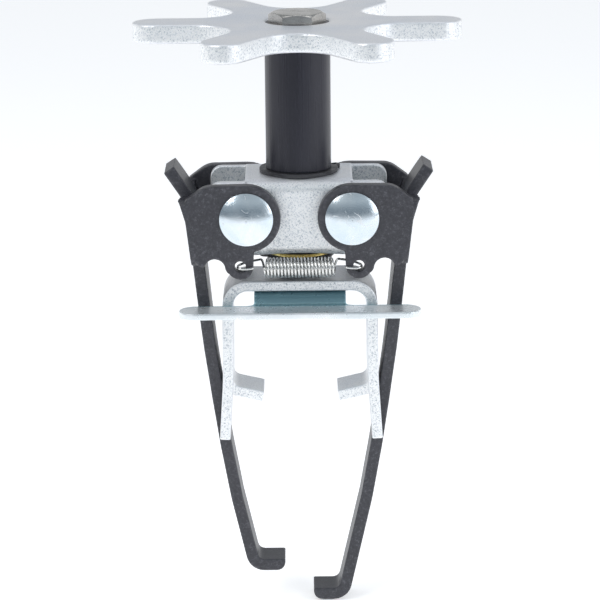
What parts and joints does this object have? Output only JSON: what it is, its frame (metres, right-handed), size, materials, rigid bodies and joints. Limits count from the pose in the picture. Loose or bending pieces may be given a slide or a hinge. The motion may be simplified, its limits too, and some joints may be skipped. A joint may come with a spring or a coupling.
{
  "type": "gear puller",
  "caption": "Two-jaw puller with sprung jaws on a folded carrier and a six-lobed star handle whose threaded tube drives an inner claw bracket.",
  "frame": {"origin": "on the screw axis, level with the lowest point of the lower jaw foot", "axes": "+Z along the screw axis towards the star handle, +X towards the longer jaw, -Y towards the side that carries the finger plate"},
  "size_m": [0.125, 0.1104, 0.2333],
  "materials": {
    "zinc_plate": "blue-white zinc plating on pressed plate",
    "bright_zinc": "bright smooth zinc plating",
    "black_steel": "satin black",
    "black_tube": "black oxide, oiled",
    "steel": "machined steel",
    "spring_steel": "bright drawn wire",
    "yellow_zinc": "yellow chromate"
  },
  "bodies": {
    "carrier_body": {"carrier": "zinc_plate", "rivet_left": "bright_zinc", "rivet_right": "bright_zinc", "pivot_washers_left": "steel", "pivot_washers_right": "steel", "jaw_spring_front": "spring_steel", "jaw_spring_back": "spring_steel"},
    "handle_body": {"star_handle": "zinc_plate", "drive_hex": "steel", "drive_tube": "black_tube", "upper_retaining_ring": "black_steel", "lower_retaining_ring": "black_steel", "thrust_washer": "yellow_zinc"},
    "claw_body": {"spindle": "steel", "spindle_washer": "steel", "spindle_nut": "steel", "claw_bracket": "zinc_plate", "finger_plate": "bright_zinc"},
    "jaw_left_body": {"jaw_left": "black_steel"},
    "jaw_right_body": {"jaw_right": "black_steel"}
  },
  "joints": [
    {"name": "handle_turn", "type": "hinge", "parent": "carrier_body", "child": "handle_body", "pos_m": [0, 0, 0.2], "axis": [0, 0, 1], "range_deg": [-540, 810]},
    {"name": "screw_travel", "type": "slide", "parent": "carrier_body", "child": "claw_body", "axis": [0, 0, 1], "range_m": [-0.00301, 0.00451]},
    {"name": "jaw_left_pivot", "type": "hinge", "parent": "carrier_body", "child": "jaw_left_body", "pos_m": [-0.02, 0, 0.158], "axis": [0, 1, 0], "range_deg": [0, 20], "stiffness_Nm_per_rad": 0.4, "springref_deg": -34.38, "deforming": ["jaw_spring_front", "jaw_spring_back"]},
    {"name": "jaw_right_pivot", "type": "hinge", "parent": "carrier_body", "child": "jaw_right_body", "pos_m": [0.02, 0, 0.158], "axis": [0, -1, 0], "range_deg": [0, 20], "stiffness_Nm_per_rad": 0.4, "springref_deg": -34.38}
  ],
  "couplings": [
    {"joint": "screw_travel", "follows": "handle_turn", "m_per_rad": 0.00031831}
  ]
}
